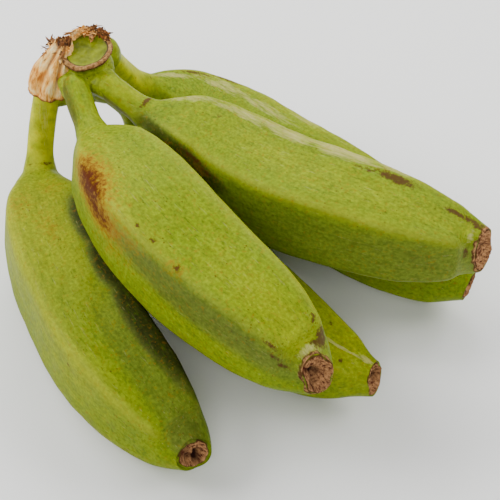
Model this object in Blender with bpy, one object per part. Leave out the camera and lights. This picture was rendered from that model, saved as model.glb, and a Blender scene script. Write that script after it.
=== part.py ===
"""A hand of five green cooking bananas on one cut crown, lying on a flat surface.

Frame: origin under the middle of the hand's box, +Z up, the surface at Z = 0.
The hand runs from its crown (back left) towards +X and -Y.  Three fingers form
the lower row and lie on the surface; two lie above them, in the hollows between.
Lengths are in metres and angles in degrees.
"""
import math

import bmesh
import bpy
import numpy as np

# ---- driving dimensions ---------------------------------------------------
BODY_LENGTH = 0.130       # fruit body, neck to tip, along the hand
BODY_WIDTH = 0.042        # fruit body across, at its widest
NECK_LENGTH = 0.028       # stalk between the crown and the fruit body
NECK_WIDTH = 0.0094       # stalk across
TIP_WIDTH = 0.0125        # scar where the flower was
CROWN_WIDTH = 0.0165      # cut face of the crown
CROWN_BASE = 0.030        # crown across, where the necks leave it
CROWN_DEPTH = 1.97 * NECK_WIDTH  # crown, from its cut face down, to hold the lowest root
HUSK_WIDTH = 0.0175       # dried bract across, where it wraps the left neck
HUSK_LENGTH = 0.026       # dried bract, top to bottom
REST_FLAT_DEPTH = 0.0005  # how deep a lower finger's resting flat is pressed
CLEARANCE = 0.0003        # gap between pieces that touch

CROWN_RISE = 0.87         # lower shoulders above the surface, in body widths
CROWN_RIM = 1.26          # cut face above the lower necks' roots, in neck widths
SHOULDER_FLARE = 1.25     # a neck's width where the body begins, in neck widths
HAND_HEADING = -45.0      # from +X to the way that the hand runs

RING_SIDES = 20
NECK_RINGS = 6
BODY_RINGS = 24
EVEN_SPACING = 0.4        # 1 spaces the body's rings evenly, 0 crowds them at its ends

# ---- shape of one finger --------------------------------------------------
# Share of the body from its start to its tip, and its width as a share of the widest.
BODY_OUTLINE = (
    (0.05, 0.52), (0.12, 0.774), (0.22, 0.922), (0.36, 1.00), (0.52, 0.995),
    (0.66, 0.95), (0.78, 0.865), (0.87, 0.72), (0.94, 0.55), (0.98, 0.40),
)
# The five flat sides: bearing round the finger, and distance from its middle as a
# share of the half width.
FLAT_SIDES = ((5.0, 0.92), (85.0, 0.88), (165.0, 0.92), (232.0, 0.94), (298.0, 0.94))
RIDGE_SHARPNESS = 9.0

# ---- how each finger lies -------------------------------------------------
# root: bearing round the crown, then reach from its middle and drop below its cut
# face, both in neck widths.
# shoulder: along the hand in neck lengths, then across and up in body widths.
# way: middle of the body, along from the shoulder in body lengths, then across and
# up in body widths.  The last point is the tip.
# girth: share of the body width.
FINGERS = {
    "finger_left": dict(
        root=(191.0, 1.41, 1.08), shoulder=(-0.144, -0.530, 0.776), girth=0.959,
        way=((0.160, -0.842, 0.562), (0.350, -1.100, 0.496), (0.550, -1.342, 0.480),
             (0.750, -1.464, 0.445), (0.958, -1.532, 0.373))),
    "finger_front": dict(
        root=(241.0, 1.00, 0.81), shoulder=(0.769, -0.417, 1.475), girth=0.958,
        way=((0.194, -0.571, 1.357), (0.357, -0.687, 1.341), (0.538, -0.742, 1.254),
             (0.720, -0.755, 1.205), (0.941, -0.777, 1.127))),
    "finger_middle": dict(
        root=(24.0, 0.55, 2.05), shoulder=(0.252, 0.377, 0.914), girth=0.884,
        way=((0.132, 0.162, 0.524), (0.382, -0.167, 0.430), (0.642, -0.225, 0.466),
             (0.836, -0.179, 0.394), (1.017, -0.016, 0.374))),
    "finger_right": dict(
        root=(308.0, 0.88, 0.95), shoulder=(0.974, 0.051, 1.482), girth=0.884,
        way=((0.177, 0.262, 1.265), (0.380, 0.378, 1.199), (0.565, 0.539, 1.215),
             (0.735, 0.770, 1.180), (0.902, 1.119, 1.102))),
    "finger_back": dict(
        root=(53.0, 0.98, 0.83), shoulder=(-0.190, 0.690, 0.935), girth=0.978,
        way=((0.095, 0.989, 0.573), (0.375, 1.055, 0.513), (0.606, 1.141, 0.490),
             (0.835, 1.201, 0.451), (1.065, 1.316, 0.372))),
}
LOWER_ROW = ("finger_left", "finger_middle", "finger_back")

# ---- colours, linear ------------------------------------------------------
SKIN_GREEN = (0.33, 0.43, 0.05)
CUT_FLESH = (0.28, 0.33, 0.06)
DRY_HUSK = (0.62, 0.42, 0.22)


# ---- curves ---------------------------------------------------------------
def crown_top():
    """Height of the cut face: the lower shoulders, a neck's length and the crown's rim."""
    return CROWN_RISE * BODY_WIDTH + NECK_LENGTH + CROWN_RIM * NECK_WIDTH


def in_hand(along, across, height):
    """A point given along and across the hand from the crown."""
    heading = math.radians(HAND_HEADING)
    x = along * math.cos(heading) - across * math.sin(heading)
    y = along * math.sin(heading) + across * math.cos(heading)
    return x, y, height


def finger_points(finger):
    """Middle line of one finger: its root on the crown, its shoulder and its body."""
    bearing, reach, drop = finger["root"]
    root = (reach * NECK_WIDTH * math.cos(math.radians(bearing)),
            reach * NECK_WIDTH * math.sin(math.radians(bearing)),
            crown_top() - drop * NECK_WIDTH)
    along, across, height = finger["shoulder"]
    start = along * NECK_LENGTH
    points = [root, in_hand(start, across * BODY_WIDTH, height * BODY_WIDTH)]
    for along, across, height in finger["way"]:
        points.append(in_hand(start + along * BODY_LENGTH, across * BODY_WIDTH, height * BODY_WIDTH))
    return np.array(points)


def smooth_line(points, samples=400):
    """Natural cubic spline through the points.

    Gives the line's samples, the distance travelled at each, and the distance
    travelled at the second point.
    """
    knots = np.concatenate([[0.0], np.cumsum(np.linalg.norm(np.diff(points, axis=0), axis=1))])
    count = len(points)
    system = np.eye(count)
    bend = np.zeros((count, 3))
    for i in range(1, count - 1):
        before = knots[i] - knots[i - 1]
        after = knots[i + 1] - knots[i]
        system[i, i - 1:i + 2] = before, 2 * (before + after), after
        bend[i] = 6 * ((points[i + 1] - points[i]) / after - (points[i] - points[i - 1]) / before)
    bend = np.linalg.solve(system, bend)
    place = np.linspace(0.0, knots[-1], samples)
    i = np.clip(np.searchsorted(knots, place, side="right") - 1, 0, count - 2)
    step = (knots[i + 1] - knots[i])[:, None]
    left = (knots[i + 1] - place)[:, None]
    right = (place - knots[i])[:, None]
    line = (bend[i] * left ** 3 + bend[i + 1] * right ** 3) / (6 * step)
    line += (points[i] / step - bend[i] * step / 6) * left
    line += (points[i + 1] / step - bend[i + 1] * step / 6) * right
    travel = np.concatenate([[0.0], np.cumsum(np.linalg.norm(np.diff(line, axis=0), axis=1))])
    return line, travel, np.interp(knots[1], place, travel)


def soft_step(value):
    """0 below 0, 1 above 1, and a smooth S between."""
    value = np.clip(value, 0.0, 1.0)
    return value * value * (3 - 2 * value)


def smooth_curve(stations, values, place):
    """A curve through the stations that never overshoots them."""
    step = np.diff(stations)
    slope = np.diff(values) / step
    tangent = np.concatenate([slope[:1], np.zeros(len(step) - 1), slope[-1:]])
    same_way = slope[:-1] * slope[1:] > 0
    mean = 2 * slope[:-1] * slope[1:] / np.where(same_way, slope[:-1] + slope[1:], 1.0)
    tangent[1:-1] = np.where(same_way, mean, 0.0)
    i = np.clip(np.searchsorted(stations, place, side="right") - 1, 0, len(step) - 1)
    t = np.clip((place - stations[i]) / step[i], 0.0, 1.0)
    rise = values[i] * (1 + 2 * t) * (1 - t) ** 2 + values[i + 1] * t * t * (3 - 2 * t)
    return rise + step[i] * t * (1 - t) * (tangent[i] * (1 - t) - tangent[i + 1] * t)


def side_radius(angles):
    """Radius round a rounded polygon: flat sides, joined by round ridges."""
    total = np.zeros_like(angles)
    for bearing, distance in FLAT_SIDES:
        facing = np.clip(np.cos(angles - math.radians(bearing)), 0.0, None)
        total += (facing / distance) ** RIDGE_SHARPNESS
    return total ** (-1 / RIDGE_SHARPNESS)


def finger_width(share, girth):
    """Width along a finger, from its neck (share below 0) over its body to its tip."""
    stations = [(-1.0, NECK_WIDTH), (-0.05, NECK_WIDTH), (0.0, SHOULDER_FLARE * NECK_WIDTH)]
    stations += [(place, width * girth) for place, width in BODY_OUTLINE]
    stations += [(1.0, TIP_WIDTH)]
    stations = np.array(stations)
    return smooth_curve(stations[:, 0], stations[:, 1], share)


def finger_rings(finger, shares, grow=0.0):
    """Rings of points across a finger, at shares of its body.

    The neck is round.  Over the shoulder the rings turn from round to five-sided, and
    back to round at the tip.
    """
    line, travel, neck_end = smooth_line(finger_points(finger))
    body_run = travel[-1] - neck_end
    place = neck_end + shares * body_run
    middle = np.stack([np.interp(place, travel, line[:, k]) for k in range(3)], axis=-1)
    slope = np.gradient(line, travel, axis=0)
    ahead = np.stack([np.interp(place, travel, slope[:, k]) for k in range(3)], axis=-1)
    ahead /= np.linalg.norm(ahead, axis=1)[:, None]
    side = np.cross(ahead, (0.0, 0.0, 1.0))
    side /= np.linalg.norm(side, axis=1)[:, None]
    up = np.cross(side, ahead)
    angles = np.linspace(0.0, 2 * np.pi, RING_SIDES, endpoint=False)
    flat = soft_step((shares + 0.02) / 0.16) * soft_step((1 - shares) / 0.10)
    shape = 1 + flat[:, None] * (side_radius(angles) - 1)
    radius = finger_width(shares, finger["girth"] * BODY_WIDTH)[:, None] / 2 * shape + grow
    around = np.cos(angles)[None, :, None] * side[:, None] + np.sin(angles)[None, :, None] * up[:, None]
    return middle[:, None] + radius[..., None] * around


def finger_shares(finger):
    """Where the rings stand along a finger: evenly on its neck, closer at its body's ends."""
    line, travel, neck_end = smooth_line(finger_points(finger))
    neck_share = neck_end / (travel[-1] - neck_end)
    neck = np.linspace(-neck_share, 0.0, NECK_RINGS + 1)[:-1]
    body = np.linspace(0.0, 1.0, BODY_RINGS)
    body = (1 - EVEN_SPACING) * (1 - np.cos(np.pi * body)) / 2 + EVEN_SPACING * body
    return np.concatenate([neck, body])


def lay_down():
    """Places each finger: how far it moves from where it stands with the crown at the origin.

    A lower finger drops until its resting flat is pressed into the surface, and the
    whole hand moves until the middle of its box is over the origin.
    """
    rings = {name: finger_rings(FINGERS[name], finger_shares(FINGERS[name])) for name in FINGERS}
    lowest = np.min([rings[name].min(axis=(0, 1)) for name in FINGERS], axis=0)
    highest = np.max([rings[name].max(axis=(0, 1)) for name in FINGERS], axis=0)
    centre = (lowest + highest) / 2
    moves = {}
    for name in FINGERS:
        drop = rings[name][..., 2].min() + REST_FLAT_DEPTH if name in LOWER_ROW else 0.0
        moves[name] = -np.array([centre[0], centre[1], drop])
    return moves


# ---- solids ---------------------------------------------------------------
def material(name, colour, roughness):
    made = bpy.data.materials.new(name)
    made.use_nodes = True
    shader = made.node_tree.nodes["Principled BSDF"]
    shader.inputs["Base Color"].default_value = (*colour, 1.0)
    shader.inputs["Roughness"].default_value = roughness
    shader.inputs["Metallic"].default_value = 0.0
    return made


def add_object(name, form, collection, look=None):
    """Turns a bmesh into an object in a collection."""
    mesh = bpy.data.meshes.new(name)
    form.to_mesh(mesh)
    form.free()
    made = bpy.data.objects.new(name, mesh)
    collection.objects.link(made)
    if look:
        mesh.materials.append(look)
    return made


def loft(rings):
    """A closed solid over rings of points, with a flat face on each end."""
    form = bmesh.new()
    rows = [[form.verts.new(point) for point in ring] for ring in rings]
    sides = len(rows[0])
    for row, following in zip(rows, rows[1:]):
        for i in range(sides):
            j = (i + 1) % sides
            form.faces.new((row[i], row[j], following[j], following[i]))
    form.faces.new(rows[0])
    form.faces.new(rows[-1])
    bmesh.ops.recalc_face_normals(form, faces=form.faces)
    return form


def press_flat(form):
    """Cuts a solid at the surface, which leaves a true flat where it rests."""
    everything = form.verts[:] + form.edges[:] + form.faces[:]
    cut = bmesh.ops.bisect_plane(form, geom=everything, plane_co=(0, 0, 0), plane_no=(0, 0, -1),
                                 clear_outer=True)
    edges = [piece for piece in cut["geom_cut"] if isinstance(piece, bmesh.types.BMEdge)]
    bmesh.ops.holes_fill(form, edges=edges)
    bmesh.ops.recalc_face_normals(form, faces=form.faces)


def add_finger(name, move, collection, look):
    form = loft(finger_rings(FINGERS[name], finger_shares(FINGERS[name])) + move)
    if name in LOWER_ROW:
        press_flat(form)
    made = add_object(name, form, collection, look)
    made.data.shade_smooth()
    made.data.set_sharp_from_angle(angle=math.radians(50))


def add_neck_cutter(name, move, collection):
    """A neck's own shape grown by the clearance, from just above its root to its shoulder."""
    finger = FINGERS[name]
    shares = finger_shares(finger)[:NECK_RINGS + 1]
    grown = finger_rings(finger, shares, grow=CLEARANCE) + move
    step = grown[0].mean(axis=0) - grown[1].mean(axis=0)
    above = grown[0] + step / np.linalg.norm(step) * CLEARANCE
    return add_object(name + "_socket", loft(np.concatenate([above[None], grown[1:]])), collection)


def cone_form(place, grow=0.0):
    """The crown's tapered stump, standing at a place on the surface."""
    depth = CROWN_DEPTH + 2 * grow
    form = bmesh.new()
    bmesh.ops.create_cone(form, cap_ends=True, segments=28, depth=depth,
                          radius1=CROWN_BASE / 2 + grow, radius2=CROWN_WIDTH / 2 + grow)
    bmesh.ops.translate(form, verts=form.verts, vec=(place[0], place[1], crown_top() + grow - depth / 2))
    return form


def cut_with(made, cutters):
    """Takes each cutter out of an object, keeping the cuts as modifiers."""
    for cutter in cutters:
        cutter.hide_render = True
        cutter.display_type = "WIRE"
        cut = made.modifiers.new(cutter.name, "BOOLEAN")
        cut.operation = "DIFFERENCE"
        cut.solver = "EXACT"
        cut.object = cutter


def add_crown(place, collection, sockets, look):
    """The cut stump that carries every neck, with a socket for each."""
    made = add_object("crown", cone_form(place), collection, look)
    cut_with(made, sockets)


def add_husk(place, collection, cutters, sockets, look):
    """A dried bract: a lump over the left neck's root, hollowed by what it wraps."""
    root = finger_points(FINGERS["finger_left"])[0] + place
    form = bmesh.new()
    bmesh.ops.create_uvsphere(form, u_segments=24, v_segments=14, radius=0.5)
    bmesh.ops.scale(form, verts=form.verts, vec=(HUSK_WIDTH, HUSK_WIDTH, HUSK_LENGTH))
    bmesh.ops.translate(form, verts=form.verts, vec=root)
    made = add_object("dry_husk", form, collection, look)
    seat = add_object("crown_seat", cone_form(place, CLEARANCE), cutters)
    cut_with(made, [seat] + sockets)


def main():
    for leftover in list(bpy.data.objects):
        bpy.data.objects.remove(leftover)
    hand = bpy.data.collections.new("banana_hand")
    cutters = bpy.data.collections.new("cutters")
    bpy.context.scene.collection.children.link(hand)
    bpy.context.scene.collection.children.link(cutters)
    moves = lay_down()
    for name, move in moves.items():
        add_finger(name, move, hand, material(name + "_skin", SKIN_GREEN, 0.45))
    sockets = [add_neck_cutter(name, move, cutters) for name, move in moves.items()]
    place = moves["finger_front"]
    add_crown(place, hand, sockets, material("cut_crown_flesh", CUT_FLESH, 0.6))
    add_husk(place, hand, cutters, sockets, material("dry_husk_fibre", DRY_HUSK, 0.85))


main()
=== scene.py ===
"""A hand of green cooking bananas on one cut crown, finished like the real fruit.

Each finger is one skin from its neck to its corky flower scar.  The necks run into
the crown's buttresses, and a dry husk wraps the left neck's root.  Lengths are in
metres in the part's own frame, and angles are in degrees unless a name says otherwise.
"""
import math
from functools import partial

import bmesh
import bpy
import numpy as np
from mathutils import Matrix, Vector


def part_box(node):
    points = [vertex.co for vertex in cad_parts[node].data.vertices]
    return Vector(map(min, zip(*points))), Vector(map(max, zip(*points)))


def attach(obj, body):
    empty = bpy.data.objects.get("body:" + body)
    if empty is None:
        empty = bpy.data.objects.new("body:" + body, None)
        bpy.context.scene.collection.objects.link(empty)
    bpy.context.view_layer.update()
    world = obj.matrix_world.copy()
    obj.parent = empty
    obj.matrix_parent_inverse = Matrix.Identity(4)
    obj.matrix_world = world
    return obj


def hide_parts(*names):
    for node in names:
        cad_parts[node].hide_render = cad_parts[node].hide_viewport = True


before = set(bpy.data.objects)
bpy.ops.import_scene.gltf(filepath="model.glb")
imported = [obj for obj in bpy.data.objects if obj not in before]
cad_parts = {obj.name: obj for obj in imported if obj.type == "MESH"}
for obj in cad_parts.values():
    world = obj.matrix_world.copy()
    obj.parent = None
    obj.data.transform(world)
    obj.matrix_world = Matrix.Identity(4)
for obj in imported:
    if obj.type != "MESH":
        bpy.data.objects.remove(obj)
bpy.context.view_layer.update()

# ---- sizes, as the part has them -------------------------------------------
BODY_LENGTH = 0.130
BODY_WIDTH = 0.042
NECK_LENGTH = 0.028
NECK_WIDTH = 0.0094
TIP_WIDTH = 0.0125
SHOULDER_FLARE = 1.25     # a neck's width where the body begins, in neck widths
HAND_HEADING = -45.0      # from +X to the way that the hand runs
CROWN_RISE = 0.87         # lower shoulders above the surface, in body widths
CROWN_RIM = 1.26          # cut face above the lower necks' roots, in neck widths
# The middle of the cut face above the surface.
CROWN_TOP = CROWN_RISE * BODY_WIDTH + NECK_LENGTH + CROWN_RIM * NECK_WIDTH

# The skin's mesh: points round a finger, and rows along its neck, body and scar.
RING_SIDES = 144
NECK_RINGS = 56
BODY_RINGS = 230
SCAR_RINGS = 26
EVEN_SPACING = 0.45       # 1 spaces the body's rows evenly, 0 crowds them at its ends

# The part's own mesh, which is coarser.
PART_RING_SIDES = 20
PART_NECK_RINGS = 6
PART_BODY_RINGS = 24
PART_EVEN_SPACING = 0.4

# Share of the body from its start to its tip, and its width as a share of the widest.
BODY_OUTLINE = (
    (0.05, 0.52), (0.12, 0.774), (0.22, 0.922), (0.36, 1.00), (0.52, 0.995),
    (0.66, 0.95), (0.78, 0.865), (0.87, 0.72), (0.94, 0.55), (0.98, 0.40),
)
# The five flat sides: bearing round the finger, and distance from its middle as a
# share of the half width.
FLAT_SIDES = ((5.0, 0.92), (85.0, 0.88), (165.0, 0.92), (232.0, 0.94), (298.0, 0.94))
RIDGE_SHARPNESS = 9.0
SKIN_SHARPNESS = 13.0     # the skin's ridges stand a little crisper than the part's

# How each finger lies: root on the crown, shoulder and way, as the part gives them.
FINGERS = {
    "finger_left": dict(
        root=(191.0, 1.41, 1.08), shoulder=(-0.144, -0.530, 0.776), girth=0.959,
        way=((0.160, -0.842, 0.562), (0.350, -1.100, 0.496), (0.550, -1.342, 0.480),
             (0.750, -1.464, 0.445), (0.958, -1.532, 0.373))),
    "finger_front": dict(
        root=(241.0, 1.00, 0.81), shoulder=(0.769, -0.417, 1.475), girth=0.958,
        way=((0.194, -0.571, 1.357), (0.357, -0.687, 1.341), (0.538, -0.742, 1.254),
             (0.720, -0.755, 1.205), (0.941, -0.777, 1.127))),
    "finger_middle": dict(
        root=(24.0, 0.55, 2.05), shoulder=(0.252, 0.377, 0.914), girth=0.884,
        way=((0.132, 0.162, 0.524), (0.382, -0.167, 0.430), (0.642, -0.225, 0.466),
             (0.836, -0.179, 0.394), (1.017, -0.016, 0.374))),
    "finger_right": dict(
        root=(308.0, 0.88, 0.95), shoulder=(0.974, 0.051, 1.482), girth=0.884,
        way=((0.177, 0.262, 1.265), (0.380, 0.378, 1.199), (0.565, 0.539, 1.215),
             (0.735, 0.770, 1.180), (0.902, 1.119, 1.102))),
    "finger_back": dict(
        root=(53.0, 0.98, 0.83), shoulder=(-0.190, 0.690, 0.935), girth=0.978,
        way=((0.095, 0.989, 0.573), (0.375, 1.055, 0.513), (0.606, 1.141, 0.490),
             (0.835, 1.201, 0.451), (1.065, 1.316, 0.372))),
}

# The flower scar at each tip: how far it leans and towards which bearing, how much
# wider it is than deep and along which bearing, its size against the tip's face, and
# how much of that face is scar.
SCARS = {
    "finger_left": dict(lean=20, towards=80, stretch=0.10, along=20, size=0.98, cover=0.80),
    "finger_front": dict(lean=24, towards=80, stretch=0.12, along=70, size=1.00, cover=0.93),
    "finger_middle": dict(lean=6, towards=60, stretch=0.20, along=80, size=0.98, cover=0.90),
    "finger_right": dict(lean=26, towards=25, stretch=0.22, along=85, size=1.12, cover=0.95),
    "finger_back": dict(lean=7, towards=190, stretch=0.10, along=60, size=1.00, cover=0.84),
}
SCAR_LIP = 0.00075        # how far a scar's rim stands up
SCAR_DISH = 0.0015        # how far its middle sinks
SCAR_SHOULDER = 0.008     # how far living skin falls away round it, times the face's bare share
SCAR_PITS = 5
PIT_DEPTH = 0.0016

# How pale and yellow each neck is.
NECK_PALENESS = {
    "finger_left": 1.0, "finger_front": 0.12, "finger_middle": 0.3, "finger_right": 0.3, "finger_back": 1.0,
}

# Kinds of mark on the skin, and how sharply each ends: yellower where the fruit fills
# out, painted shade (deep) where the fingers shade one another and in the crevices
# between them, sap stains, bruises, and chafed wax, which also carries a painted highlight.
MARK_KINDS = {"yellow": 1.3, "deep": 3.0, "rust": 1.3, "bruise": 1.3, "graze_and_highlight": 1.3}
# The marks: share of the body, bearing, half length and half width in millimetres, and
# strength.
MARKS = {
    "finger_left": {
        "yellow": ((0.22, 60, 42, 26, 1.0), (0.6, 20, 36, 14, 0.7)),
        # Painted shade: the shadow that finger_front casts along this finger's right side and over its tip.
        "deep": (
            (0.45, 150, 62, 12, 0.75), (0.67, 130, 34, 8.4, 2.2), (0.45, 124, 19, 6.8, 2.2),
            (0.3, 121, 18, 5.6, 2.0), (0.8, 104, 38, 10, 0.8), (0.975, 88, 9, 8, 1.0),
        ),
        "rust": (
            (0.16, 55, 7, 4, 0.26), (0.27, 78, 9, 4, 0.26), (0.12, 100, 5, 4, 0.26),
            (0.55, 240, 12, 5, 0.6),
        ),
        "bruise": (
            (-0.012, 125, 0.9, 4.5, 0.75), (-0.01, 60, 0.8, 2.5, 0.5), (0.33, 84, 0.9, 0.7, 0.9),
            (0.52, 72, 0.8, 0.6, 0.8), (0.66, 30, 1.0, 0.6, 0.8), (0.7, 215, 5, 1.2, 0.8),
        ),
        # The first of these marks is a painted highlight down the neck; the others are chafed wax.
        "graze_and_highlight": ((-0.14, 140, 12, 2.0, 0.45), (0.3, 265, 14, 2.5, 0.8), (0.75, 331, 16, 1.6, 0.7)),
    },
    "finger_front": {
        "yellow": ((0.26, 40, 34, 15, 0.7), (0.8, 78, 30, 8, 0.8)),
        # Painted shade: the shaded lower-left face, and the neck's left edge in the husk's shade.
        "deep": ((0.66, 27, 47, 7.2, 1.08), (-0.1, 8, 12, 4.2, 1.55)),
        "rust": (
            (0.235, 38, 14, 7.0, 1.3), (0.3, 26, 13, 6.5, 1.12), (0.17, 46, 8, 4.2, 0.85),
            (0.36, 10, 12, 6, 0.3), (0.37, 34, 14, 4, 0.4), (0.58, 48, 5, 3.5, 0.26),
            (-0.19, 20, 5, 3, 0.35), (0.35, 235, 12, 5, 0.55),
        ),
        "bruise": (
            (0.48, 50, 1.4, 1.0, 0.95), (0.429, 50, 1.1, 0.8, 0.8), (0.583, 48, 1.6, 1.1, 0.95),
            (0.895, 46, 5, 0.8, 0.7), (0.925, 36, 4, 0.7, 0.75), (0.95, 28, 3.4, 0.8, 0.8),
            (0.955, 132, 4.2, 3.2, 1.0), (0.9, 118, 2.0, 1.4, 0.7), (0.975, 110, 1.6, 3.0, 0.9),
            (-0.012, 100, 0.8, 3.5, 0.45), (0.62, 200, 6, 1.0, 0.8),
        ),
        "graze_and_highlight": ((0.985, 86, 1.5, 4.5, 0.9), (0.55, 265, 20, 2.5, 0.8)),
    },
    "finger_middle": {
        "yellow": ((0.9, 88, 28, 12, 0.8),),
        "rust": ((0.4, 250, 10, 4, 0.6),),
        "bruise": ((0.93, 60, 1.2, 0.8, 0.8), (0.86, 110, 1.0, 0.8, 0.8), (0.55, 300, 5, 1.0, 0.8)),
        "graze_and_highlight": ((0.91, 84, 11, 0.7, 0.9), (0.983, 90, 2.2, 1.4, 1.0), (0.6, 331, 20, 2.0, 0.7)),
    },
    "finger_right": {
        "yellow": ((0.55, 85, 60, 8, 0.5),),
        # Painted shade: the lower face under the ridge, and the crevices at the neck and beside
        # finger_front's shoulder.
        "deep": ((0.55, 3, 80, 12.2, 0.86), (-0.12, 332, 18, 3.4, 2.1), (0.17, 22, 26, 5.0, 1.8)),
        "rust": ((0.22, 30, 12, 3, 0.36), (0.45, 235, 12, 4, 0.6)),
        "bruise": (
            (0.645, 112, 5, 0.9, 0.7), (0.725, 114, 8, 2.0, 1.05), (0.895, 104, 6, 1.3, 0.95),
            (0.945, 106, 5, 1.5, 0.95), (0.975, 100, 3, 2.5, 0.9), (-0.012, 95, 1.0, 5.0, 0.85),
            (0.19, 33, 9, 1.2, 0.85), (0.27, 29, 6, 1.0, 0.75), (0.18, 100, 2.5, 1.0, 0.6),
            (0.97, 30, 2, 2.5, 0.7),
        ),
        "graze_and_highlight": (
            (0.09, 120, 9, 1.6, 0.75), (0.25, 119, 13, 2.2, 0.85), (0.4, 121, 15, 2.6, 0.9),
            (0.57, 122, 14, 2.8, 0.95), (0.7, 126, 10, 2.2, 0.8), (0.97, 66, 2.0, 2.4, 0.8),
            (0.7, 265, 22, 2.2, 0.7),
        ),
    },
    "finger_back": {
        "yellow": ((-0.1, 100, 10, 8, 1.0),),
        "rust": ((0.55, 150, 12, 4, 0.6), (0.3, 215, 10, 5, 0.5)),
        "bruise": (
            (0.1, 120, 8, 0.8, 0.8), (0.19, 124, 9, 0.8, 0.85), (-0.012, 90, 0.9, 4.0, 0.6),
            (0.8, 160, 4, 1.1, 0.8),
        ),
        "graze_and_highlight": (
            (0.05, 108, 7, 1.6, 0.9), (0.2, 114, 15, 2.4, 0.8), (0.36, 112, 14, 2.0, 0.7),
            (0.46, 124, 9, 1.6, 0.65), (0.72, 198, 18, 2.2, 0.8),
        ),
    },
}


# ---- curves ----------------------------------------------------------------
def in_hand(along, across, height):
    """A point given along and across the hand from the crown."""
    heading = math.radians(HAND_HEADING)
    return (along * math.cos(heading) - across * math.sin(heading),
            along * math.sin(heading) + across * math.cos(heading), height)


def finger_points(finger):
    """Middle line of one finger: its root on the crown, its shoulder and its body."""
    bearing, reach, drop = finger["root"]
    points = [(reach * NECK_WIDTH * math.cos(math.radians(bearing)),
               reach * NECK_WIDTH * math.sin(math.radians(bearing)),
               CROWN_TOP - drop * NECK_WIDTH)]
    along, across, height = finger["shoulder"]
    start = along * NECK_LENGTH
    points.append(in_hand(start, across * BODY_WIDTH, height * BODY_WIDTH))
    for along, across, height in finger["way"]:
        points.append(in_hand(start + along * BODY_LENGTH, across * BODY_WIDTH, height * BODY_WIDTH))
    return np.array(points)


def smooth_line(points, samples=400):
    """Natural cubic spline by chord length: its samples, travel, and travel at the second point."""
    knots = np.concatenate([[0.0], np.cumsum(np.linalg.norm(np.diff(points, axis=0), axis=1))])
    count = len(points)
    gap = np.diff(knots)
    system = np.eye(count)
    bend = np.zeros((count, 3))
    for i in range(1, count - 1):
        system[i, i - 1:i + 2] = gap[i - 1], 2 * (gap[i - 1] + gap[i]), gap[i]
        bend[i] = 6 * ((points[i + 1] - points[i]) / gap[i] - (points[i] - points[i - 1]) / gap[i - 1])
    bend = np.linalg.solve(system, bend)
    place = np.linspace(0.0, knots[-1], samples)
    i = np.clip(np.searchsorted(knots, place, side="right") - 1, 0, count - 2)
    step = gap[i][:, None]
    left = (knots[i + 1] - place)[:, None]
    right = (place - knots[i])[:, None]
    line = (bend[i] * left ** 3 + bend[i + 1] * right ** 3) / (6 * step)
    line += (points[i] / step - bend[i] * step / 6) * left
    line += (points[i + 1] / step - bend[i + 1] * step / 6) * right
    travel = np.concatenate([[0.0], np.cumsum(np.linalg.norm(np.diff(line, axis=0), axis=1))])
    return line, travel, np.interp(knots[1], place, travel)


def soft_step(value):
    """0 below 0, 1 above 1, and a smooth S between."""
    value = np.clip(value, 0.0, 1.0)
    return value * value * (3 - 2 * value)


def smooth_curve(stations, values, place):
    """A curve through the stations that never overshoots them: cubics between them, with
    the slope at each the harmonic mean of the slopes beside it, or 0 at a peak."""
    step = np.diff(stations)
    slope = np.diff(values) / step
    same_way = slope[:-1] * slope[1:] > 0
    mean = 2 * slope[:-1] * slope[1:] / np.where(same_way, slope[:-1] + slope[1:], 1.0)
    tangent = np.concatenate([slope[:1], np.where(same_way, mean, 0.0), slope[-1:]])
    i = np.clip(np.searchsorted(stations, place, side="right") - 1, 0, len(step) - 1)
    t = np.clip((place - stations[i]) / step[i], 0.0, 1.0)
    rise = values[i] * (1 + 2 * t) * (1 - t) ** 2 + values[i + 1] * t * t * (3 - 2 * t)
    return rise + step[i] * t * (1 - t) * (tangent[i] * (1 - t) - tangent[i + 1] * t)


def lumps(points, size, seed, waves=20):
    """Smooth noise about 0, mostly from -1 to 1: a sum of sine waves of about one length,
    each running its own way.  Each seed gives another pattern."""
    random = np.random.default_rng(seed)
    ways = random.normal(size=(waves, 3))
    ways *= (2 * np.pi / size * random.uniform(0.6, 1.4, waves) / np.linalg.norm(ways, axis=1))[:, None]
    phase = random.uniform(0, 2 * np.pi, waves)
    total = np.zeros(points.shape[:-1])
    for way, start in zip(ways, phase):
        total += np.sin(points @ way + start)
    return total / math.sqrt(waves) / 1.5


# ---- fingers ---------------------------------------------------------------
def side_radius(angles, sharpness):
    """Radius round a rounded polygon: a power mean of the distances to its flat sides."""
    total = np.zeros_like(angles)
    for bearing, distance in FLAT_SIDES:
        facing = np.clip(np.cos(angles - math.radians(bearing)), 0.0, None)
        total += (facing / distance) ** sharpness
    return total ** (-1 / sharpness)


def finger_width(share, girth):
    """Width along a finger, from its neck (share below 0) over its body to its tip: a
    smooth curve through the neck's width, its flare, the body's outline and the tip's."""
    stations = [(-1.0, NECK_WIDTH), (-0.05, NECK_WIDTH), (0.0, SHOULDER_FLARE * NECK_WIDTH)]
    stations += [(place, width * girth) for place, width in BODY_OUTLINE]
    stations += [(1.0, TIP_WIDTH)]
    stations = np.array(stations)
    return smooth_curve(stations[:, 0], stations[:, 1], share)


def read_along(place, travel, values):
    """Points or directions at places along a line, straight between its samples."""
    return np.stack([np.interp(place, travel, values[:, k]) for k in range(3)], axis=-1)


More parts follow.
